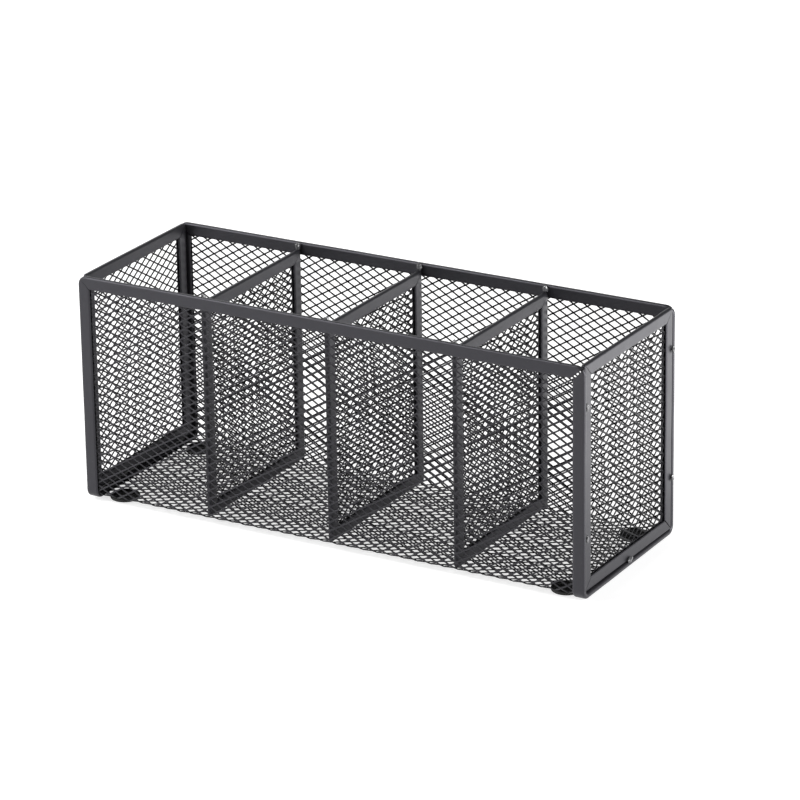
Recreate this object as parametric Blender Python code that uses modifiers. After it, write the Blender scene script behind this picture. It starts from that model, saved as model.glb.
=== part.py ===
"""Four-compartment desk organizer of expanded steel mesh bound in folded sheet-steel channel.

One long mesh sheet makes the front wall, the floor and the back wall. Its top edges are
held by two rims and its side edges by two bindings that follow it round the bottom bends.
Two framed end panels and three framed dividers stand inside it, held by weld beads, and
four round pads carry it. Metres, +Z up, +X along the row of compartments, -Y the front.
The origin is at the middle of the footprint, on the surface that the pads stand on.
"""

import math

import bmesh
import bpy
from mathutils import Matrix, Vector

# Overall sizes
LENGTH = 0.240
DEPTH = 0.082
HEIGHT = 0.102

# Folded channel that binds every edge
CHANNEL_WIDTH = 0.0056
CHANNEL_THICKNESS = 0.0022
CHANNEL_WALL = 0.0005
FOLD_RADIUS = 0.0008
WRAP_CORNER_RADIUS = 0.0028
BEND_RADIUS = 0.0028

# Mesh sheet, as thick as the steel it is expanded from
SHEET_THICKNESS = 0.0005

# Inner panels
DIVIDER_COUNT = 3
DIVIDER_DROP = 0.0028
END_INSET = 0.0012

# Pads
PAD_DIAMETER = 0.0130
PAD_EDGE_RADIUS = 0.0004
PAD_SIDE_INSET = 0.0132
PAD_FRONT_INSET = 0.0100
PAD_DROP = 0.0010

# Weld beads. Each fills the step it lies in, so its third size follows from the step
DIVIDER_BEAD_WIDTH = 0.0018
DIVIDER_BEAD_REACH = 0.0016
STILE_BEAD_REACH = 0.0014
STILE_BEAD_HEIGHT = 0.0024
RAIL_BEAD_WIDTH = 0.0032
RAIL_BEAD_RISE = 0.0014
UPPER_BEAD_DROP = 0.018
LOWER_BEAD_RISE = 0.026

# Clearances
FIT = 0.0003
MITRE_GAP = 0.0003

# Smoothness of the rounded shapes
CORNER_SEGMENTS = 4
FOLD_SEGMENTS = 2
BEND_STEPS = 5
PAD_SIDES = 32
BEAD_SIDES = 12
BEAD_RINGS = 7
CUT_MARGIN = 0.001

# Places that follow from the sizes
WALL_MID = DEPTH / 2 - CHANNEL_THICKNESS / 2
FLOOR_MID = PAD_DROP + CHANNEL_THICKNESS / 2
BEND_CENTRE_Y = WALL_MID - BEND_RADIUS
BEND_CENTRE_Z = FLOOR_MID + BEND_RADIUS
WALL_RUN = HEIGHT - BEND_CENTRE_Z
BEND_RUN = BEND_RADIUS * math.pi / 2
FLOOR_RUN = 2 * BEND_CENTRE_Y
SHEET_RUN = 2 * WALL_RUN + 2 * BEND_RUN + FLOOR_RUN
RIM_INNER_Y = DEPTH / 2 - CHANNEL_THICKNESS
PANEL_CORNER_RADIUS = BEND_RADIUS - CHANNEL_THICKNESS / 2 - FIT
PANEL_WIDTH = 2 * (RIM_INNER_Y - FIT)
END_BOTTOM = PAD_DROP + CHANNEL_THICKNESS + FIT
DIVIDER_BOTTOM = FLOOR_MID + SHEET_THICKNESS / 2 + FIT
END_MID = LENGTH / 2 - END_INSET - CHANNEL_THICKNESS / 2
SLOT_THICKNESS = CHANNEL_THICKNESS - 2 * CHANNEL_WALL
SHEET_MARGIN = CHANNEL_WALL + FIT

POWDER_COAT = ("powder_coat", (0.028, 0.028, 0.030), 0.42, 0.0)
MESH_COAT = ("mesh_coat", (0.022, 0.022, 0.024), 0.45, 0.0)
WELD = ("weld_bead", (0.040, 0.040, 0.042), 0.38, 0.0)
RUBBER = ("rubber_pad", (0.012, 0.012, 0.012), 0.75, 0.0)


def clear_scene():
    for obj in list(bpy.data.objects):
        bpy.data.objects.remove(obj, do_unlink=True)


def new_collection(name):
    found = bpy.data.collections.new(name)
    bpy.context.scene.collection.children.link(found)
    return found


def new_material(node, look):
    name, colour, roughness, metallic = look
    material = bpy.data.materials.new(f"{node}_{name}")
    material.use_nodes = True
    shader = material.node_tree.nodes["Principled BSDF"]
    shader.inputs["Base Color"].default_value = (*colour, 1.0)
    shader.inputs["Roughness"].default_value = roughness
    shader.inputs["Metallic"].default_value = metallic
    material.diffuse_color = (*colour, 1.0)
    return material


def add_part(node, mesh, look):
    """A finished piece: its mesh, its own material and smooth round faces."""
    mesh.name = node
    mesh.materials.clear()
    mesh.materials.append(new_material(node, look))
    mesh.shade_smooth()
    mesh.set_sharp_from_angle(angle=math.radians(35))
    obj = bpy.data.objects.new(node, mesh)
    parts.objects.link(obj)
    return obj


def mesh_from(bm, name):
    bmesh.ops.recalc_face_normals(bm, faces=bm.faces)
    if bm.calc_volume(signed=True) < 0:
        bmesh.ops.reverse_faces(bm, faces=bm.faces)
    mesh = bpy.data.meshes.new(name)
    bm.to_mesh(mesh)
    bm.free()
    return mesh


def bevel(bm, edges, radius, segments):
    bmesh.ops.bevel(
        bm, geom=edges, offset=radius, offset_type="OFFSET", segments=segments,
        profile=0.5, affect="EDGES", material=-1, clamp_overlap=True,
    )


def rounded_plate(width, height, thickness, margin, radius, fold):
    """A plate from (margin, margin) to (width - margin, height - margin), centred on its
    thickness. Its corners are rounded to radius and its rim is folded round to fold."""
    size = Vector((width - 2 * margin, height - 2 * margin, thickness))
    bm = bmesh.new()
    bmesh.ops.create_cube(bm, size=1.0)
    bmesh.ops.scale(bm, vec=size, verts=bm.verts)
    bmesh.ops.translate(bm, vec=(width / 2, height / 2, 0), verts=bm.verts)
    upright = [e for e in bm.edges if abs(e.verts[0].co.z - e.verts[1].co.z) > thickness / 2]
    if radius > 0:
        bevel(bm, upright, radius, CORNER_SEGMENTS)
    if fold > 0:
        outline = [e for e in bm.edges if abs(e.verts[0].co.z - e.verts[1].co.z) < thickness / 2]
        bevel(bm, outline, fold, FOLD_SEGMENTS)
    return mesh_from(bm, "plate")


def window_cutter(width, height):
    bm = bmesh.new()
    bmesh.ops.create_cube(bm, size=1.0)
    depth = CHANNEL_THICKNESS + 2 * CUT_MARGIN
    size = (width - 2 * CHANNEL_WIDTH, height - 2 * CHANNEL_WIDTH, depth)
    bmesh.ops.scale(bm, vec=size, verts=bm.verts)
    bmesh.ops.translate(bm, vec=(width / 2, height / 2, 0), verts=bm.verts)
    return mesh_from(bm, "window")


def subtract(mesh, cutter_meshes):
    """The mesh less each cutter, as a new mesh."""
    body = bpy.data.objects.new("body", mesh)
    parts.objects.link(body)
    for cutter_mesh in cutter_meshes:
        cutter = bpy.data.objects.new("cutter", cutter_mesh)
        cutter.hide_render = True
        cutter.display_type = "WIRE"
        cutters.objects.link(cutter)
        boolean = body.modifiers.new("cut", "BOOLEAN")
        boolean.operation = "DIFFERENCE"
        boolean.solver = "EXACT"
        boolean.object = cutter
    graph = bpy.context.evaluated_depsgraph_get()
    result = bpy.data.meshes.new_from_object(body.evaluated_get(graph))
    for obj in [body, *cutters.objects]:
        bpy.data.objects.remove(obj, do_unlink=True)
    return result


def channel_frame(width, height, radius):
    """The whole channel round a panel: a folded-edge plate, a window through it and a slot
    inside it for the mesh."""
    plate = rounded_plate(width, height, CHANNEL_THICKNESS, 0, radius, FOLD_RADIUS)
    slot_radius = radius - CHANNEL_WALL
    slot = rounded_plate(width, height, SLOT_THICKNESS, CHANNEL_WALL, slot_radius, 0)
    return subtract(plate, [window_cutter(width, height), slot])


def cut(bm, point, normal, clear):
    """Cuts along a plane. With clear, the side the normal points to is removed and capped."""
    geometry = [*bm.verts, *bm.edges, *bm.faces]
    made = bmesh.ops.bisect_plane(
        bm, geom=geometry, dist=1e-7, plane_co=point, plane_no=normal, clear_outer=clear
    )
    if clear:
        edges = [item for item in made["geom_cut"] if isinstance(item, bmesh.types.BMEdge)]
        bmesh.ops.holes_fill(bm, edges=edges, sides=0)


def mitred_rail(frame, width, height, side):
    """One side of a channel frame, cut at 45 degrees at both ends."""
    corners = {
        "low_v": ((0, 0), (width, 0), (0, 1)),
        "high_v": ((0, height), (width, height), (0, -1)),
        "low_u": ((0, 0), (0, height), (1, 0)),
        "high_u": ((width, 0), (width, height), (-1, 0)),
    }
    first, second, inward = (Vector((*pair, 0)) for pair in corners[side])
    along = (second - first).normalized()
    bm = bmesh.new()
    bm.from_mesh(frame)
    for corner, toward in ((first, along), (second, -along)):
        normal = (inward - toward).normalized()
        cut(bm, corner - normal * MITRE_GAP / 2, normal, True)
    return bm


def bend_stations():
    """Where the flat sheet is creased so that it can follow the two bends."""
    starts = (WALL_RUN, WALL_RUN + BEND_RUN + FLOOR_RUN)
    return [start + BEND_RUN * i / BEND_STEPS for start in starts for i in range(BEND_STEPS + 1)]


def folded(point):
    """A point of the flat sheet (along X, run from the front top edge, outward offset), put
    where it lies once the sheet is folded into front wall, floor and back wall."""
    x = point.x - LENGTH / 2
    run = point.y
    radius = BEND_RADIUS + point.z
    if run <= WALL_RUN:
        return Vector((x, -WALL_MID - point.z, HEIGHT - run))
    run -= WALL_RUN
    if run <= BEND_RUN:
        turn = run / BEND_RADIUS
        y = -BEND_CENTRE_Y - radius * math.cos(turn)
        return Vector((x, y, BEND_CENTRE_Z - radius * math.sin(turn)))
    run -= BEND_RUN
    if run <= FLOOR_RUN:
        return Vector((x, run - BEND_CENTRE_Y, FLOOR_MID - point.z))
    run -= FLOOR_RUN
    if run <= BEND_RUN:
        turn = run / BEND_RADIUS
        y = BEND_CENTRE_Y + radius * math.sin(turn)
        return Vector((x, y, BEND_CENTRE_Z - radius * math.cos(turn)))
    return Vector((x, WALL_MID + point.z, BEND_CENTRE_Z + run - BEND_RUN))


def fold_wrap(bm):
    for station in bend_stations():
        cut(bm, (0, station, 0), (0, 1, 0), False)
    for vert in bm.verts:
        vert.co = folded(vert.co)


def stand_panel(bm, x, bottom):
    """Turns a flat panel (along Y, up, outward) upright at x, centred on Y."""
    turn = Matrix(((0, 0, 1, x), (1, 0, 0, -PANEL_WIDTH / 2), (0, 1, 0, bottom), (0, 0, 0, 1)))
    bmesh.ops.transform(bm, matrix=turn, verts=bm.verts)


def add_wrap():
    sheet_radius = WRAP_CORNER_RADIUS - SHEET_MARGIN
    sheet = bmesh.new()
    sheet.from_mesh(
        rounded_plate(LENGTH, SHEET_RUN, SHEET_THICKNESS, SHEET_MARGIN, sheet_radius, 0)
    )
    fold_wrap(sheet)
    add_part("wrap_mesh", mesh_from(sheet, "wrap_mesh"), MESH_COAT)
    frame = channel_frame(LENGTH, SHEET_RUN, WRAP_CORNER_RADIUS)
    sides = {
        "front_rim": "low_v",
        "back_rim": "high_v",
        "left_binding": "low_u",
        "right_binding": "high_u",
    }
    for node, side in sides.items():
        rail = mitred_rail(frame, LENGTH, SHEET_RUN, side)
        fold_wrap(rail)
        add_part(node, mesh_from(rail, node), POWDER_COAT)


def add_panel(name, x, bottom, top):
    height = top - bottom
    sheet_radius = PANEL_CORNER_RADIUS - SHEET_MARGIN
    sheet = bmesh.new()
    sheet.from_mesh(
        rounded_plate(PANEL_WIDTH, height, SHEET_THICKNESS, SHEET_MARGIN, sheet_radius, 0)
    )
    stand_panel(sheet, x, bottom)
    add_part(f"{name}_mesh", mesh_from(sheet, name), MESH_COAT)
    frame = channel_frame(PANEL_WIDTH, height, PANEL_CORNER_RADIUS)
    sides = {
        "front_stile": "low_u",
        "back_stile": "high_u",
        "bottom_rail": "low_v",
        "top_rail": "high_v",
    }
    for part, side in sides.items():
        rail = mitred_rail(frame, PANEL_WIDTH, height, side)
        stand_panel(rail, x, bottom)
        add_part(f"{name}_{part}", mesh_from(rail, name), POWDER_COAT)


def add_bead(node, size, centre):
    bm = bmesh.new()
    bmesh.ops.create_uvsphere(bm, u_segments=BEAD_SIDES, v_segments=BEAD_RINGS, radius=0.5)
    bmesh.ops.scale(bm, vec=size, verts=bm.verts)
    bmesh.ops.translate(bm, vec=centre, verts=bm.verts)
    add_part(node, mesh_from(bm, node), WELD)


def add_divider_beads(index, x):
    """A bead on each end of the divider's top rail, against the rim beside it."""
    size = (DIVIDER_BEAD_WIDTH, DIVIDER_BEAD_REACH, DIVIDER_DROP - FIT)
    y = RIM_INNER_Y - FIT - DIVIDER_BEAD_REACH / 2
    z = HEIGHT - (DIVIDER_DROP - FIT) / 2
    for place, sign in (("front", -1), ("back", 1)):
        add_bead(f"weld_divider_{index}_{place}", size, (x, sign * y, z))


def add_end_beads(name, sign):
    """Beads in the step between an end panel's face and the binding round it."""
    step = END_INSET - FIT
    x = sign * (LENGTH / 2 - step / 2)
    y = RIM_INNER_Y - FIT - STILE_BEAD_REACH / 2
    size = (step, STILE_BEAD_REACH, STILE_BEAD_HEIGHT)
    heights = {"upper": HEIGHT - UPPER_BEAD_DROP, "lower": PAD_DROP + LOWER_BEAD_RISE}
    for level, z in heights.items():
        add_bead(f"weld_{name}_front_{level}", size, (x, -y, z))
        add_bead(f"weld_{name}_back_{level}", size, (x, y, z))
    size = (step, RAIL_BEAD_WIDTH, RAIL_BEAD_RISE)
    z = END_BOTTOM + RAIL_BEAD_RISE / 2
    add_bead(f"weld_{name}_bottom", size, (x, 0, z))


def add_pad(node, x, y):
    top = FLOOR_MID - SHEET_THICKNESS / 2 - FIT
    bpy.ops.mesh.primitive_cylinder_add(
        vertices=PAD_SIDES, radius=PAD_DIAMETER / 2, depth=top, location=(0, 0, 0)
    )
    primitive = bpy.context.object
    mesh = primitive.data
    bpy.data.objects.remove(primitive, do_unlink=True)
    obj = add_part(node, mesh, RUBBER)
    obj.location = (x, y, top / 2)
    rounding = obj.modifiers.new("edge", "BEVEL")
    rounding.width = PAD_EDGE_RADIUS
    rounding.segments = 2
    rounding.limit_method = "ANGLE"


clear_scene()
parts = new_collection("desk_organizer")
cutters = new_collection("cutters")

add_wrap()
for end_name, end_sign in (("left_end", -1), ("right_end", 1)):
    add_panel(end_name, end_sign * END_MID, END_BOTTOM, HEIGHT)
    add_end_beads(end_name, end_sign)

for number in range(1, DIVIDER_COUNT + 1):
    divider_x = LENGTH * (number / (DIVIDER_COUNT + 1) - 0.5)
    add_panel(f"divider_{number}", divider_x, DIVIDER_BOTTOM, HEIGHT - DIVIDER_DROP)
    add_divider_beads(number, divider_x)

for row, row_sign in (("front", -1), ("back", 1)):
    for column, column_sign in (("left", -1), ("right", 1)):
        pad_x = column_sign * (LENGTH / 2 - PAD_SIDE_INSET)
        pad_y = row_sign * (DEPTH / 2 - PAD_FRONT_INSET)
        add_pad(f"pad_{row}_{column}", pad_x, pad_y)
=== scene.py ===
import math

import bmesh
import bpy
import numpy as np
from mathutils import Matrix, Vector, noise


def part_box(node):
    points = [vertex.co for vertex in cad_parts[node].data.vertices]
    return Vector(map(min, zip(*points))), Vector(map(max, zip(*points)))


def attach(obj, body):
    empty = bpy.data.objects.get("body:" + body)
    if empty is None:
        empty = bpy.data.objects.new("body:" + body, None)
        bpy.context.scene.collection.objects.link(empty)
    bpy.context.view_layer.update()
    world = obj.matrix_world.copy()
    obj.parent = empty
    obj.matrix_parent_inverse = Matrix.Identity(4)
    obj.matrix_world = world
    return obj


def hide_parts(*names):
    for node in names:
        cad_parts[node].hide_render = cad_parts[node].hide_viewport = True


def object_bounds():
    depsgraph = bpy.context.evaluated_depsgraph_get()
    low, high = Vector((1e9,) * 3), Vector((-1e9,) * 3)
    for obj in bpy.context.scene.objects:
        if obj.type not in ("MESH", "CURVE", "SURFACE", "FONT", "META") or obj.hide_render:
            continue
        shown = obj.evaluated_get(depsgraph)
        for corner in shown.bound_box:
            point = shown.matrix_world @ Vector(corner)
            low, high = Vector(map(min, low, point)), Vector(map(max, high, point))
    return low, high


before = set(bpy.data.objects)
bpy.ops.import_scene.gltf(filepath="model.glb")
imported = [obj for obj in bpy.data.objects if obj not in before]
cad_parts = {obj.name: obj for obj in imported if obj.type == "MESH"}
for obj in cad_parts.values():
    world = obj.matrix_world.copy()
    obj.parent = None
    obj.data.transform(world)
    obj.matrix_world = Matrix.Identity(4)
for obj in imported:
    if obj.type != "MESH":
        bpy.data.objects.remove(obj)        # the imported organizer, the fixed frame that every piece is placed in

cadLow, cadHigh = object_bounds()
print("organizer is", [round(side * 1000, 1) for side in cadHigh - cadLow], "mm")


# small helpers

touch = 1e-6             # metres: places closer than this are taken as one
onCut = 1e-7             # a corner this near to a cut lies on it


def nodeBox(node):
    low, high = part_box(node)
    return low, high, high - low


def findEdges(bm, test):
    return [e for e in bm.edges if test(e.verts[0].co, e.verts[1].co)]


def roundEdges(bm, edges, radius, segments):
    bmesh.ops.bevel(bm, geom=edges, offset=radius, offset_type="OFFSET", segments=segments,
                    profile=0.5, affect="EDGES", material=-1, clamp_overlap=True)


def cutAcross(bm, point, normal, drop=False):
    # one straight cut; with drop, the side the normal points to goes and the end is closed
    made = bmesh.ops.bisect_plane(bm, geom=[*bm.verts, *bm.edges, *bm.faces], dist=onCut,
                                  plane_co=point, plane_no=normal, clear_outer=drop)
    if drop:
        rim = [g for g in made["geom_cut"] if isinstance(g, bmesh.types.BMEdge)]
        bmesh.ops.holes_fill(bm, edges=rim, sides=0)


def pointOutwards(bm):
    bmesh.ops.recalc_face_normals(bm, faces=bm.faces)
    if bm.calc_volume(signed=True) < 0:
        bmesh.ops.reverse_faces(bm, faces=bm.faces)


def asMesh(bm, name):
    pointOutwards(bm)
    mesh = bpy.data.meshes.new(name)
    bm.to_mesh(mesh)
    bm.free()
    return mesh


def moveAll(mesh, move):
    # move takes and gives back all the corners at once
    corners = np.empty(len(mesh.vertices) * 3, np.float64)
    mesh.vertices.foreach_get("co", corners)
    corners = move(corners.reshape(-1, 3))
    mesh.vertices.foreach_set("co", np.ascontiguousarray(corners).ravel())
    mesh.update()


def finishPiece(name, mesh, look, nodes, sharp):
    # edges that turn by more than sharp, in degrees, stay sharp
    mesh.name = name
    mesh.materials.clear()
    mesh.materials.append(look)
    mesh.shade_smooth()
    mesh.set_sharp_from_angle(angle=math.radians(sharp))
    piece = bpy.data.objects.new(name, mesh)
    bpy.context.scene.collection.objects.link(piece)
    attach(piece, "root")
    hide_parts(*nodes)
    return piece


# finishes

class Wire:
    # a socket that takes Python's operators, each one a Math node
    def __init__(self, socket):
        self.socket = socket

    def combine(self, operation, first, second):
        tree = self.socket.id_data
        step = tree.nodes.new("ShaderNodeMath")
        step.operation = operation
        for place, value in enumerate((first, second)):
            if isinstance(value, Wire):
                tree.links.new(value.socket, step.inputs[place])
            else:
                step.inputs[place].default_value = value
        return Wire(step.outputs[0])

    def __add__(self, other):
        return self.combine("ADD", self, other)

    def __radd__(self, other):
        return self.combine("ADD", other, self)

    def __sub__(self, other):
        return self.combine("SUBTRACT", self, other)

    def __rsub__(self, other):
        return self.combine("SUBTRACT", other, self)

    def __mul__(self, other):
        return self.combine("MULTIPLY", self, other)

    def __rmul__(self, other):
        return self.combine("MULTIPLY", other, self)

    def swing(self, amount):
        # noise lies round 0.5, so this goes as far down as up
        return (self - 0.5) * amount


class Finish:
    # a material being put together, node by node
    def __init__(self, name):
        self.material = bpy.data.materials.new(name)
        self.material.use_nodes = True
        self.tree = self.material.node_tree
        self.shader = self.tree.nodes["Principled BSDF"]

    def join(self, value, socket):
        if isinstance(value, Wire):
            self.tree.links.new(value.socket, socket)
        else:
            socket.default_value = value

    def add(self, kind, settings=None, out=0, **values):
        node = self.tree.nodes.new(kind)
        for setting, value in (settings or {}).items():
            if setting == "stops":
                ramp = node.color_ramp
                while len(ramp.elements) < len(value):
                    ramp.elements.new(1.0)
                for stop, (place, grey) in zip(ramp.elements, value):
                    stop.position = place
                    stop.color = (grey, grey, grey, 1)
            else:
                setattr(node, setting, value)
        for socket, value in values.items():
            self.join(value, node.inputs[socket.replace("_", " ")])
        return Wire(node.outputs[out])

    def paint(self, **values):
        for socket, value in values.items():
            self.join(value, self.shader.inputs[socket.replace("_", " ")])
        return self.material

    def noise(self, place, size, detail=2.0, rough=0.5):
        return self.add("ShaderNodeTexNoise", Vector=place, Scale=1 / size, Detail=detail,
                        Roughness=rough)

    def blend(self, share, first, second):
        # a Mix node has one set of sockets for each type; 6, 7 and 2 are the colours
        node = self.tree.nodes.new("ShaderNodeMix")
        node.data_type = "RGBA"
        self.join(share, node.inputs[0])
        self.join(first, node.inputs[6])
        self.join(second, node.inputs[7])
        return Wire(node.outputs[2])

    def dot(self, first, second):
        node = self.tree.nodes.new("ShaderNodeVectorMath")
        node.operation = "DOT_PRODUCT"
        self.join(first, node.inputs[0])
        self.join(second, node.inputs[1])
        return Wire(node.outputs["Value"])

    def bump(self, height, depth, under=None):
        values = {"Height": height, "Distance": depth, "Strength": 1.0}
        if under is not None:
            values["Normal"] = under
        return self.add("ShaderNodeBump", **values)


def objectPlace(finish):
    return finish.add("ShaderNodeTexCoord", out="Object")


coatLook = {
    "dark": (0.0095, 0.0095, 0.0110, 1),
    "light": (0.0145, 0.0145, 0.0165, 1),
    "roughness": 0.40,
    "specular": 0.48,
    "sheen": (0.92, 0.90, 1.0, 1),
    "peelSize": 0.0011,      # orange peel of the baked powder
    "peelDepth": 0.000010,
    "grainSize": 0.00022,
    "grainDepth": 0.000006,
    "cloudSize": 0.012,
    "grainShare": 0.3,
    "cloudRoughness": 0.14,
    "grainRoughness": 0.10,
    "speck": (0.060, 0.060, 0.064, 1),   # paint rubbed thin, in small spots
    "speckSize": 0.0019,
    "speckFrom": 0.68,
    "speckFull": 0.80,
    "wander": 0.0070,        # the folds roll a little from place to place
    "wanderDepth": 0.00006,
}


def powderCoat(name, look):
    f = Finish(name)
    place = objectPlace(f)
    clouds = f.noise(place, look["cloudSize"], detail=3.0)
    grain = f.noise(place, look["grainSize"], rough=0.6)
    peel = f.noise(place, look["peelSize"], detail=1.0, rough=0.4)
    mottle = clouds * (1 - look["grainShare"]) + grain * look["grainShare"]
    tone = f.blend(mottle, look["dark"], look["light"])
    spots = f.add("ShaderNodeValToRGB",
                  {"stops": [(look["speckFrom"], 0.0), (look["speckFull"], 1.0)]},
                  Fac=f.noise(place, look["speckSize"], detail=3.0, rough=0.7))
    tone = f.blend(spots * clouds, tone, look["speck"])
    roll = f.bump(f.noise(place, look["wander"]), look["wanderDepth"])
    waves = f.bump(peel, look["peelDepth"], roll)
    dull = clouds.swing(look["cloudRoughness"]) + grain.swing(look["grainRoughness"])
    return f.paint(
        Base_Color=tone,
        Roughness=look["roughness"] + dull,
        Specular_IOR_Level=look["specular"],
        Specular_Tint=look["sheen"],
        Normal=f.bump(grain, look["grainDepth"], waves),
    )


strandLook = {              # one strand finish in two copies: the front wall's has more specular, a painted sheen, the others' less, a painted shade
    "dark": (0.0020, 0.0020, 0.0025, 1),
    "light": (0.0036, 0.0036, 0.0043, 1),
    "roughness": 0.40,
    "specular": 0.13,
    "litFrontSpecular": 0.46,
    "cloudSize": 0.006,
    "grainSize": 0.00025,
    "grainDepth": 0.000012,
    "grainRoughness": 0.16,
    "sheen": (0.92, 0.90, 1.0, 1),
}


def strandCoat(name, look, specular):
    f = Finish(name)
    place = objectPlace(f)
    clouds = f.noise(place, look["cloudSize"])
    grain = f.noise(place, look["grainSize"], rough=0.6)
    return f.paint(
        Base_Color=f.blend(clouds, look["dark"], look["light"]),
        Roughness=look["roughness"] + grain.swing(look["grainRoughness"]),
        Specular_IOR_Level=specular,
        Specular_Tint=look["sheen"],
        Normal=f.bump(grain, look["grainDepth"]),
    )


beadLook = {
    "dark": (0.035, 0.035, 0.038, 1),
    "light": (0.090, 0.090, 0.095, 1),
    "roughness": 0.22,
    "specular": 0.9,
    "rippleSize": 0.0005,
    "rippleDepth": 0.00006,
    "rippleRoughness": 0.2,
}


def beadCoat(look):
    f = Finish("weld_bead")
    place = objectPlace(f)
    ripple = f.noise(place, look["rippleSize"], detail=3.0, rough=0.6)
    return f.paint(
        Base_Color=f.blend(ripple, look["dark"], look["light"]),
        Roughness=look["roughness"] + ripple.swing(look["rippleRoughness"]),
        Specular_IOR_Level=look["specular"],
        Normal=f.bump(ripple, look["rippleDepth"]),
    )


padLook = {
    "dark": (0.006, 0.006, 0.006, 1),
    "dust": (0.014, 0.0135, 0.013, 1),
    "roughness": 0.72,
    "grainSize": 0.0004,
    "grainDepth": 0.00003,
    "grainRoughness": 0.2,
    "dustSize": 0.003,
    "dustFrom": 0.45,
    "dustFull": 0.75,
}


def padRubber(look):
    f = Finish("rubber_pad")
    place = objectPlace(f)
    grain = f.noise(place, look["grainSize"], detail=3.0, rough=0.6)
    dust = f.noise(place, look["dustSize"], detail=4.0, rough=0.7)
    film = f.add("ShaderNodeValToRGB",
                 {"stops": [(look["dustFrom"], 0.0), (look["dustFull"], 1.0)]}, Fac=dust)
    return f.paint(
        Base_Color=f.blend(film, look["dark"], look["dust"]),
        Roughness=look["roughness"] + grain.swing(look["grainRoughness"]),
        Normal=f.bump(grain, look["grainDepth"]),
    )


powder = powderCoat("powder_coat", coatLook)
# two copies of one strand finish: the front wall's lit copy is a painted sheen, the shaded copy for the rest a
# painted shade
shadedStrandPaint = strandCoat("mesh_coat", strandLook, strandLook["specular"])
litFrontPaint = strandCoat("mesh_coat_front_lit", strandLook, strandLook["litFrontSpecular"])
beadPaint = beadCoat(beadLook)
rubber = padRubber(padLook)
print("finishes are ready")


# the sheet that is folded into front wall, floor and back wall

rimSize = nodeBox("front_rim")[2]
bindLow, _, bindSize = nodeBox("left_binding")

wrap = {
    "length": cadHigh.x - cadLow.x,
    "height": cadHigh.z,
    "wallMid": cadHigh.y - rimSize.y / 2,
    "floorMid": bindLow.z + rimSize.y / 2,
    "bendRadius": 0.0028,
    "cornerRadius": 0.0040,
    "bendSteps": 10,
    "seed": 4,
}
bendY = wrap["wallMid"] - wrap["bendRadius"]
bendZ = wrap["floorMid"] + wrap["bendRadius"]
wallRun = wrap["height"] - bendZ
bendRun = wrap["bendRadius"] * math.pi / 2
floorRun = 2 * bendY
sheetRun = 2 * wallRun + 2 * bendRun + floorRun


def foldWrap(flat):
    # flat: along X from the left edge, run from the front top edge, offset to the outside
    radius = wrap["bendRadius"]
    run, off = flat[:, 1], flat[:, 2]
    frontTurn = np.clip((run - wallRun) / radius, 0, math.pi / 2)
    backTurn = np.clip((run - wallRun - bendRun - floorRun) / radius, 0, math.pi / 2)
    down = np.minimum(run, wallRun)
    across = np.clip(run - wallRun - bendRun, 0, floorRun)
    up = np.maximum(run - (sheetRun - wallRun), 0)
    turn = frontTurn + backTurn
    y = -wrap["wallMid"] + radius * (1 - np.cos(frontTurn)) + across + radius * np.sin(backTurn)
    z = wrap["height"] - down - radius * np.sin(frontTurn) + radius * (1 - np.cos(backTurn)) + up
    y = y - off * np.cos(turn)
    z = z - off * np.sin(turn)
    return np.stack([flat[:, 0] - wrap["length"] / 2, y, z], axis=1)


def bendStations(steps):
    starts = (wallRun, wallRun + bendRun + floorRun)
    return [start + bendRun * i / steps for start in starts for i in range(steps + 1)]


# expanded steel: slit, pulled open and twisted, one diamond after another

expanded = {
    "longWay": 0.0064,
    "shortWay": 0.00384,
    "strand": 0.00068,
    "steel": 0.00044,
    "edgeRadius": 0.00014,
    "edgeSteps": 2,
    "sharp": 80,
    "tilt": 9.0,             # degrees that the bonds turn out of the sheet
    "edge": 0.0016,          # from the channel's outer face to the cut edge of the sheet
    "ripple": 0.00016,       # how far single bonds stand in or out
    "rippleAlong": 190,
    "rippleUp": 170,
    "margin": 6,             # diamonds made past the outline, then dropped
    "spare": 0.6,            # share of a diamond kept past the outline before it is cut
    "bond": (0.10595, 0.0067),    # one bond, from the right edge and from the back top edge
    "creep": (0.0002, -0.0018),   # how far the mesh has pulled along and up by the front wall
}


def pickOutside(bm, low, high, spare):
    # the diamonds whose middles lie outside low..high, with some to spare
    found = []
    for face in bm.faces:
        centre = face.calc_center_median()
        if not (low[0] - spare[0] < centre.x < high[0] + spare[0]
                and low[1] - spare[1] < centre.y < high[1] + spare[1]):
            found.append(face)
    return found


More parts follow.
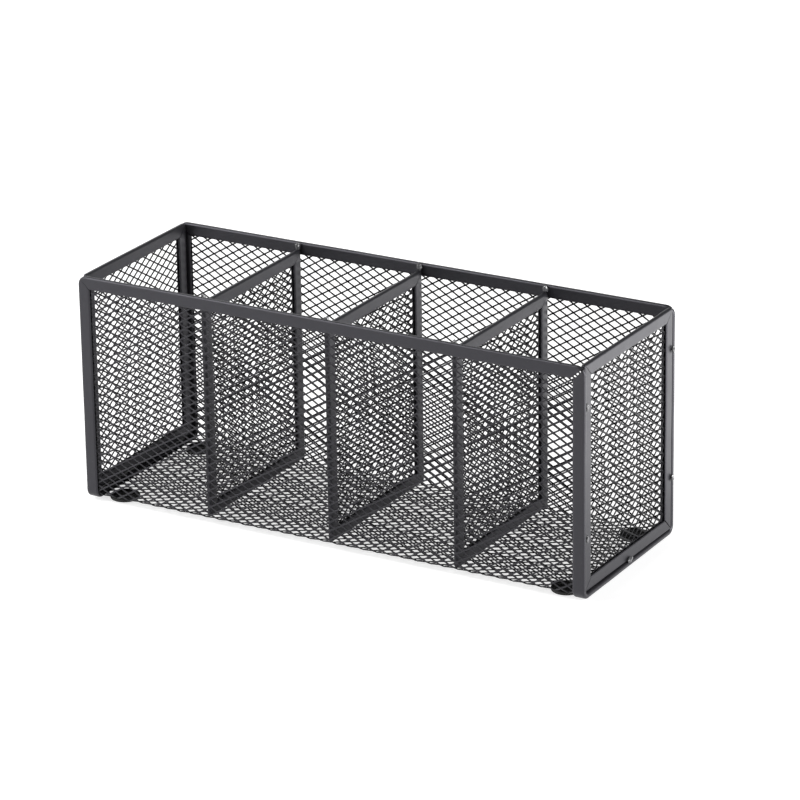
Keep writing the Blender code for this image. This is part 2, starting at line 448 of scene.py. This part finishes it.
def diamondSheet(name, low, high, bond, seed, pull=None):
    # flat strands that fill low..high, with one bond exactly at the point bond
    lw, sw = expanded["longWay"], expanded["shortWay"]
    count = int((high[0] - low[0]) / lw + (high[1] - low[1]) / sw) + expanded["margin"]
    count += count % 2
    bm = bmesh.new()
    bmesh.ops.create_grid(bm, x_segments=count, y_segments=count, size=count / 2)
    turn = Matrix.Rotation(math.radians(45), 4, "Z")
    bmesh.ops.rotate(bm, verts=bm.verts, cent=(0, 0, 0), matrix=turn)
    bmesh.ops.scale(bm, vec=(lw / math.sqrt(2), sw / math.sqrt(2), 1), verts=bm.verts)
    middle = ((low[0] + high[0]) / 2, (low[1] + high[1]) / 2)
    shift = (bond[0] + round((middle[0] - bond[0]) / lw) * lw,
             bond[1] + round((middle[1] - bond[1]) / sw) * sw)
    bmesh.ops.translate(bm, vec=(*shift, 0), verts=bm.verts)
    spare = (lw * expanded["spare"], sw * expanded["spare"])
    bmesh.ops.delete(bm, geom=pickOutside(bm, low, high, spare), context="FACES")
    openings = bm.faces[:]
    bmesh.ops.inset_individual(bm, faces=openings, thickness=expanded["strand"] / 2,
                               use_even_offset=True)
    bmesh.ops.delete(bm, geom=openings, context="FACES")
    bmesh.ops.solidify(bm, geom=bm.faces[:], thickness=expanded["steel"])
    top = max(v.co.z for v in bm.verts)
    bmesh.ops.translate(bm, vec=(0, 0, expanded["steel"] / 2 - top), verts=bm.verts)
    # where the flat of a strand meets its sheared sides
    sheared = [e for e in bm.edges if len(e.link_faces) == 2
               and abs(e.link_faces[0].normal.dot(e.link_faces[1].normal)) < 0.3
               and abs(e.verts[0].co.z - e.verts[1].co.z) < touch]
    roundEdges(bm, sheared, expanded["edgeRadius"], expanded["edgeSteps"])
    mesh = asMesh(bm, name)

    def twist(corners):
        # each bond and the strand ends at it turn about the line through the bond
        x = (corners[:, 0] - shift[0]) / lw
        y = (corners[:, 1] - shift[1]) / sw
        rising, falling = np.round(y + x), np.round(y - x)
        bondX = (rising - falling) * lw / 2
        bondY = (rising + falling) * sw / 2
        angle = math.radians(expanded["tilt"])
        offY, offZ = corners[:, 1] - shift[1] - bondY, corners[:, 2]
        turnedY = offY * math.cos(angle) - offZ * math.sin(angle)
        turnedZ = offY * math.sin(angle) + offZ * math.cos(angle)
        spots = np.stack([bondX * expanded["rippleAlong"], bondY * expanded["rippleUp"],
                          np.full(len(x), seed * 1.0)], axis=1)
        wander = np.array([noise.noise(spot) for spot in spots.tolist()])
        turnedZ = turnedZ + wander * expanded["ripple"]
        return np.stack([corners[:, 0], shift[1] + bondY + turnedY, turnedZ], axis=1)

    moveAll(mesh, twist)
    if pull:
        moveAll(mesh, pull)
    bm = bmesh.new()
    bm.from_mesh(mesh)
    bpy.data.meshes.remove(mesh)
    for point, normals in ((low, ((-1, 0, 0), (0, -1, 0))), (high, ((1, 0, 0), (0, 1, 0)))):
        for normal in normals:
            cutAcross(bm, (point[0], point[1], 0), normal, True)
    return asMesh(bm, name)


def makeWrapMesh():
    edge = expanded["edge"]
    middle = wallRun + bendRun / 2

    def pull(flat):
        share = np.clip((sheetRun - middle - flat[:, 1]) / (sheetRun - 2 * middle), 0, 1)
        flat[:, 0] += expanded["creep"][0] * share
        flat[:, 1] += expanded["creep"][1] * share
        return flat

    stretches = {
        "wrap_mesh_front": (edge, middle),
        "wrap_mesh_floor": (middle, sheetRun - middle),
        "wrap_mesh_back": (sheetRun - middle, sheetRun - edge),
    }
    bond = (wrap["length"] / 2 - expanded["bond"][0], sheetRun - expanded["bond"][1])
    for name, (start, end) in stretches.items():
        mesh = diamondSheet(name, (edge, start), (wrap["length"] - edge, end),
                            bond, wrap["seed"], pull)
        moveAll(mesh, foldWrap)
        # the front wall takes the lit copy, painted sheen; floor and back take the shaded copy, painted shade
        paint = litFrontPaint if name == "wrap_mesh_front" else shadedStrandPaint
        finishPiece(name, mesh, paint, ["wrap_mesh"], expanded["sharp"])
        print(name, len(mesh.polygons), "faces")


# folded channel round every edge

channel = {
    "width": bindSize.x,
    "thickness": rimSize.y,
    "wall": 0.0005,
    "foldRadius": 0.00095,
    "foldSteps": 5,
    "lipRadius": 0.00016,
    "lipSteps": 2,
    "sharp": 40,
    "crimp": 0.00030,        # the open lips lean in over the cut edge of the mesh
    "crimpRun": 0.0009,
    "crimpCuts": (0.4, 0.7, 1.0),
    "cornerSteps": 8,
    "station": 0.007,
    "wave": 0.00009,
    "waveScale": 55,
    "wrapSeed": 3.7,
    "panelSeed": 5.3,
}
mitres = {                  # how far each corner stands open, outside and inside, in metres
    "plain": (0.00012, 0.00034),
    "open": (0.00020, 0.00125),
}


def cutAround(bm, width, height, inset):
    # four cuts, each this far inside one side of the outline
    for point, normal in (((inset, 0, 0), (1, 0, 0)), ((width - inset, 0, 0), (1, 0, 0)),
                          ((0, inset, 0), (0, 1, 0)), ((0, height - inset, 0), (0, 1, 0))):
        cutAcross(bm, point, normal)


def channelRing(width, height, cornerRadius):
    # one folded strip all the way round, still in one piece and flat
    w = channel["width"]
    bm = bmesh.new()
    bmesh.ops.create_cube(bm, size=1.0)
    bmesh.ops.scale(bm, vec=(width, height, channel["thickness"]), verts=bm.verts)
    bmesh.ops.translate(bm, vec=(width / 2, height / 2, 0), verts=bm.verts)
    cutAround(bm, width, height, w)
    centres = {f: f.calc_center_median() for f in bm.faces}
    window = [f for f, centre in centres.items()
              if w < centre.x < width - w and w < centre.y < height - w]
    bmesh.ops.delete(bm, geom=window, context="FACES")
    half = channel["thickness"] / 2
    corners = findEdges(bm, lambda a, b: abs(a.z - b.z) > half
                        and min(a.x, width - a.x) < touch
                        and min(a.y, height - a.y) < touch)
    roundEdges(bm, corners, cornerRadius, channel["cornerSteps"])

    def onRim(co):
        inside = min(co.x, width - co.x, co.y, height - co.y)
        tight = co.x < cornerRadius or co.x > width - cornerRadius
        tight = tight and (co.y < cornerRadius or co.y > height - cornerRadius)
        return inside < touch or (tight and inside < cornerRadius)

    outline = findEdges(bm, lambda a, b: abs(a.z - b.z) < touch and onRim(a) and onRim(b))
    outline = [e for e in outline if any(abs(f.normal.z) < 0.5 for f in e.link_faces)]
    roundEdges(bm, outline, channel["foldRadius"], channel["foldSteps"])
    bmesh.ops.recalc_face_normals(bm, faces=bm.faces)
    bmesh.ops.solidify(bm, geom=bm.faces[:], thickness=channel["wall"])
    pointOutwards(bm)

    def atWindow(co):
        edge = w - 10 * touch
        return edge < co.x < width - edge and edge < co.y < height - edge

    lips = findEdges(bm, lambda a, b: atWindow(a) and atWindow(b))
    lips = [e for e in lips if (e.verts[0].co - e.verts[1].co).length > w]
    roundEdges(bm, lips, channel["lipRadius"], channel["lipSteps"])
    for share in channel["crimpCuts"]:
        cutAround(bm, width, height, w - channel["crimpRun"] * share)
    mesh = bpy.data.meshes.new("ring")
    bm.to_mesh(mesh)
    bm.free()

    def crimp(corners):
        x, y = corners[:, 0], corners[:, 1]
        inside = np.minimum(np.minimum(x, width - x), np.minimum(y, height - y))
        share = np.clip(1 - (w - inside) / channel["crimpRun"], 0, 1)
        corners[:, 2] -= np.sign(corners[:, 2]) * channel["crimp"] * share ** 2
        return corners

    moveAll(mesh, crimp)
    return mesh


def mitredRail(ring, width, height, side, gaps):
    # one side of the ring; gaps are (outside, inside) at its first and second end
    ends = {
        "lowV": ((0, 0), (width, 0), (0, 1)),
        "highV": ((0, height), (width, height), (0, -1)),
        "lowU": ((0, 0), (0, height), (1, 0)),
        "highU": ((width, 0), (width, height), (-1, 0)),
    }
    first, second, inward = (Vector((*pair, 0)) for pair in ends[side])
    along = (second - first).normalized()
    bm = bmesh.new()
    bm.from_mesh(ring)
    for corner, toward, gap in ((first, along, gaps[0]), (second, -along, gaps[1])):
        seam = (inward + toward).normalized()
        outer, inner = gap[0] / 2, gap[1] / 2
        aside = (toward - inward).normalized()
        start = corner + aside * outer
        end = corner + seam * channel["width"] * math.sqrt(2) + aside * inner
        way = (end - start).normalized()
        normal = Vector((0, 0, 1)).cross(way)
        if normal.dot(toward) > 0:
            normal = -normal
        cutAcross(bm, start, normal, True)
    return bm, first, second, along


def addStations(bm, first, second, along):
    length = (second - first).length
    count = int((length - 2 * channel["width"]) / channel["station"])
    for i in range(1, count):
        reach = channel["width"] + (length - 2 * channel["width"]) * i / count
        cutAcross(bm, first + along * reach, along)


def wavy(mesh, seed):
    # hand-folded strip: its faces wander by less than a tenth of a millimetre
    def move(corners):
        for i, co in enumerate(corners):
            spot = Vector(co) * channel["waveScale"]
            push = Vector((noise.noise(spot + Vector((seed, 0, 0))),
                           noise.noise(spot + Vector((0, seed, 0))),
                           noise.noise(spot + Vector((0, 0, seed)))))
            corners[i] = co + np.array(push) * channel["wave"]
        return corners
    moveAll(mesh, move)


def finishRail(name, mesh, seed):
    wavy(mesh, seed)
    piece = finishPiece(name, mesh, powder, [name], channel["sharp"])
    even = piece.modifiers.new("even", "WEIGHTED_NORMAL")
    even.keep_sharp = True


def makeWrapChannels():
    length = wrap["length"]
    ring = channelRing(length, sheetRun, wrap["cornerRadius"])
    plain, wide = mitres["plain"], mitres["open"]
    rails = {
        "front_rim": ("lowV", (plain, wide)),
        "back_rim": ("highV", (plain, plain)),
        "left_binding": ("lowU", (plain, plain)),
        "right_binding": ("highU", (wide, plain)),
    }
    for number, (name, (side, gaps)) in enumerate(rails.items()):
        bm, first, second, along = mitredRail(ring, length, sheetRun, side, gaps)
        addStations(bm, first, second, along)
        for station in bendStations(wrap["bendSteps"]):
            cutAcross(bm, (0, station, 0), (0, 1, 0))
        mesh = asMesh(bm, name)
        moveAll(mesh, foldWrap)
        finishRail(name, mesh, number * channel["wrapSeed"])
    bpy.data.meshes.remove(ring)


def standPanel(mesh, x, bottom, width, skew):
    # a flat panel (along Y, up, outward) set upright at x, its ends off by skew (front, back)
    def move(flat):
        askew = skew[0] + (skew[1] - skew[0]) * flat[:, 0] / width
        across, up = flat[:, 0] - width / 2, bottom + flat[:, 1]
        return np.stack([x + flat[:, 2] + askew, across, up], axis=1)
    moveAll(mesh, move)


panels = {                  # where a diamond starts (along, up) and how far the ends stand off
    "left_end": {"diamond": (0.0014, 0.00336), "skew": (-0.0003, 0.0007)},
    "divider_1": {"diamond": (0.0, 0.0013), "skew": (0.0003, 0.0013)},
    "divider_2": {"diamond": (0.0018, 0.0026), "skew": (-0.0003, 0.0009)},
    "divider_3": {"diamond": (0.0030, 0.0011), "skew": (-0.0006, 0.0011)},
    "right_end": {"diamond": (0.0012, 0.0008), "skew": (0.0001, 0.0012)},
}
panelCorner = 0.0014     # radius of a panel's outer corners
firstPanelSeed = 10


def makePanel(name, spec, seed):
    low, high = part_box(f"{name}_front_stile")
    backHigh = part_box(f"{name}_back_stile")[1]
    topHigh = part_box(f"{name}_top_rail")[1]
    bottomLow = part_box(f"{name}_bottom_rail")[0]
    width, height = backHigh.y - low.y, topHigh.z - bottomLow.z
    x = (low.x + high.x) / 2
    edge = expanded["edge"]
    sheet = diamondSheet(f"{name}_mesh", (edge, edge), (width - edge, height - edge),
                         spec["diamond"], seed)
    standPanel(sheet, x, bottomLow.z, width, spec["skew"])
    finishPiece(f"{name}_mesh", sheet, shadedStrandPaint, [f"{name}_mesh"],
                expanded["sharp"])
    ring = channelRing(width, height, panelCorner)
    plain = mitres["plain"]
    rails = {
        "front_stile": "lowU",
        "back_stile": "highU",
        "bottom_rail": "lowV",
        "top_rail": "highV",
    }
    for number, (part, side) in enumerate(rails.items()):
        bm, first, second, along = mitredRail(ring, width, height, side, (plain, plain))
        addStations(bm, first, second, along)
        mesh = asMesh(bm, f"{name}_{part}")
        standPanel(mesh, x, bottomLow.z, width, spec["skew"])
        finishRail(f"{name}_{part}", mesh, seed * channel["panelSeed"] + number)
    bpy.data.meshes.remove(ring)


makeWrapMesh()
makeWrapChannels()
print("wrap is folded and bound")
for number, (panelName, panelSpec) in enumerate(panels.items()):
    makePanel(panelName, panelSpec, firstPanelSeed + number)
print("end panels and dividers stand in it")


# weld beads

bead = {
    "lumps": 0.34,
    "lumpSize": 0.30,
    "rings": 16,
    "sides": 24,
    "swell": 1.40,           # how much larger than its solid a bead is
    "seed": 2.3,
    "sharp": 80,
}


def makeBead(node, seed):
    # a small lump of weld that has run and set, moved along with the panel that it holds
    low, high, size = nodeBox(node)
    panel = next(name for name in panels if node.startswith(f"weld_{name}_"))
    skew = panels[panel]["skew"]
    centre = (low + high) / 2
    back = (centre.y - cadLow.y) / (cadHigh.y - cadLow.y)
    centre.x += skew[0] + (skew[1] - skew[0]) * back
    bm = bmesh.new()
    bmesh.ops.create_uvsphere(bm, u_segments=bead["sides"], v_segments=bead["rings"], radius=0.5)
    for vert in bm.verts:
        spot = vert.co / bead["lumpSize"] + Vector((seed, 0, 0))
        vert.co *= 1 + bead["lumps"] * noise.noise(spot)
    bmesh.ops.scale(bm, vec=size * bead["swell"], verts=bm.verts)
    bmesh.ops.translate(bm, vec=centre, verts=bm.verts)
    finishPiece(node, asMesh(bm, node), beadPaint, [node], bead["sharp"])


beadNodes = sorted(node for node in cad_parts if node.startswith("weld_"))
for number, beadNode in enumerate(beadNodes):
    makeBead(beadNode, number * bead["seed"])
print(len(beadNodes), "weld beads")


# rubber pads

pad = {
    "sides": 48,
    "edgeRadius": 0.0005,
    "edgeSteps": 3,
    "dish": 0.0002,
    "dishEdge": 0.0009,
    "sharp": 50,
}


def makePad(node):
    low, high, size = nodeBox(node)
    bm = bmesh.new()
    bmesh.ops.create_cone(bm, cap_ends=True, segments=pad["sides"], radius1=size.x / 2,
                          radius2=size.x / 2, depth=size.z)
    rims = findEdges(bm, lambda a, b: abs(a.z - b.z) < touch)
    roundEdges(bm, rims, pad["edgeRadius"], pad["edgeSteps"])
    top = [f for f in bm.faces if f.normal.z > 0.99]
    bmesh.ops.inset_region(bm, faces=top, thickness=pad["dishEdge"], depth=-pad["dish"])
    bmesh.ops.translate(bm, vec=(low + high) / 2, verts=bm.verts)
    finishPiece(node, asMesh(bm, node), rubber, [node], pad["sharp"])


for column in ("left", "right"):
    for row in ("front", "back"):
        makePad(f"pad_{row}_{column}")
print("pads are on")


# floor, light and camera

studio = {
    "floorSize": 6,
    "floorDrop": 0.0001,     # the floor lies this far below the pads
    "floorColour": (0.50, 0.50, 0.50, 1),
    "floorRoughness": 0.35,
    "floorSpecular": 0.3,
    "floorGlow": 0.70,
    "sideGlow": 2.25,        # the floor glows brighter to the right and back of the organizer, painted light from no lamp that lights its right side
    "sideWay": (0.8648, 0.5020, 0),
    "sideStart": 0.1139,     # metres out from the middle, in that direction
    "sideEnd": 0.2531,
    "world": 0.16,
    "aim": (0, 0, 0.05),
}
lamps = {
    "front_left_box": {"at": (-0.9, -0.9, 0.6), "size": 0.8, "power": 12.0},
    "right_box": {"at": (1.3, 0.1, 0.4), "size": 0.7, "power": 26.0},
    "back_left_box": {"at": (-0.8, 0.9, 0.5), "size": 0.8, "power": 2.6},
    "top_left_box": {"at": (-0.62, -0.48, 1.08), "size": 0.35, "power": 8.0},
}
cameraSet = {
    "azimuth": 30.12,
    "elevation": 21.10,
    "distance": 1.8086,
    "aimZ": 0.0509,
    "roll": -0.96,
    "sensor": 36,
    "focal": 193.68,
    "clip": (0.05, 50),
    "shift": (0.0315, 0.0061),
}


def makeFloor():
    bm = bmesh.new()
    bmesh.ops.create_grid(bm, x_segments=1, y_segments=1, size=studio["floorSize"])
    mesh = bpy.data.meshes.new("floor")
    bm.to_mesh(mesh)
    bm.free()
    f = Finish("floor_white")
    # painted light: the floor glows brighter to the right and back, a glow from no lamp that lights the
    # organizer's right side
    side = f.dot(objectPlace(f), studio["sideWay"])
    share = f.add("ShaderNodeMapRange", {"interpolation_type": "SMOOTHSTEP"}, Value=side,
                  From_Min=studio["sideStart"], From_Max=studio["sideEnd"])
    near = studio["floorGlow"] / studio["sideGlow"]
    glow = f.blend(share, (near, near, near, 1), (1, 1, 1, 1))
    mesh.materials.append(f.paint(
        Base_Color=studio["floorColour"],
        Roughness=studio["floorRoughness"],
        Specular_IOR_Level=studio["floorSpecular"],
        Emission_Color=glow,
        Emission_Strength=studio["sideGlow"],
    ))
    floor = bpy.data.objects.new("floor", mesh)
    bpy.context.scene.collection.objects.link(floor)
    floor.location.z = -studio["floorDrop"]


def makeLight(name, spec):
    light = bpy.data.lights.new(name, "AREA")
    light.shape = "SQUARE"
    light.size = spec["size"]
    light.energy = spec["power"]
    lamp = bpy.data.objects.new(name, light)
    bpy.context.scene.collection.objects.link(lamp)
    lamp.location = spec["at"]
    aim = Vector(studio["aim"]) - lamp.location
    lamp.rotation_euler = aim.to_track_quat("-Z", "Y").to_euler()
    lamp.visible_camera = False


def makeWorld():
    world = bpy.data.worlds.new("studio")
    world.use_nodes = True
    sky = world.node_tree.nodes["Background"]
    sky.inputs["Color"].default_value = (1, 1, 1, 1)
    sky.inputs["Strength"].default_value = studio["world"]
    bpy.context.scene.world = world


def makeCamera():
    a, e = math.radians(cameraSet["azimuth"]), math.radians(cameraSet["elevation"])
    back = Vector((math.sin(a) * math.cos(e), -math.cos(a) * math.cos(e), math.sin(e)))
    lens = bpy.data.cameras.new("camera")
    lens.sensor_width = cameraSet["sensor"]
    lens.lens = cameraSet["focal"]
    lens.shift_x, lens.shift_y = cameraSet["shift"]
    lens.clip_start, lens.clip_end = cameraSet["clip"]
    camera = bpy.data.objects.new("camera", lens)
    bpy.context.scene.collection.objects.link(camera)
    camera.location = Vector((0, 0, cameraSet["aimZ"])) + back * cameraSet["distance"]
    right = Vector((math.cos(a), math.sin(a), 0))
    up = back.cross(right)
    level = Matrix((right, up, back)).transposed()
    roll = Matrix.Rotation(math.radians(cameraSet["roll"]), 3, "Z")
    camera.rotation_euler = (level @ roll).to_euler()
    bpy.context.scene.camera = camera


makeWorld()
makeFloor()
for lampName, lamp in lamps.items():
    makeLight(lampName, lamp)
makeCamera()
bpy.context.scene.view_settings.view_transform = "Standard"
print("studio is set")
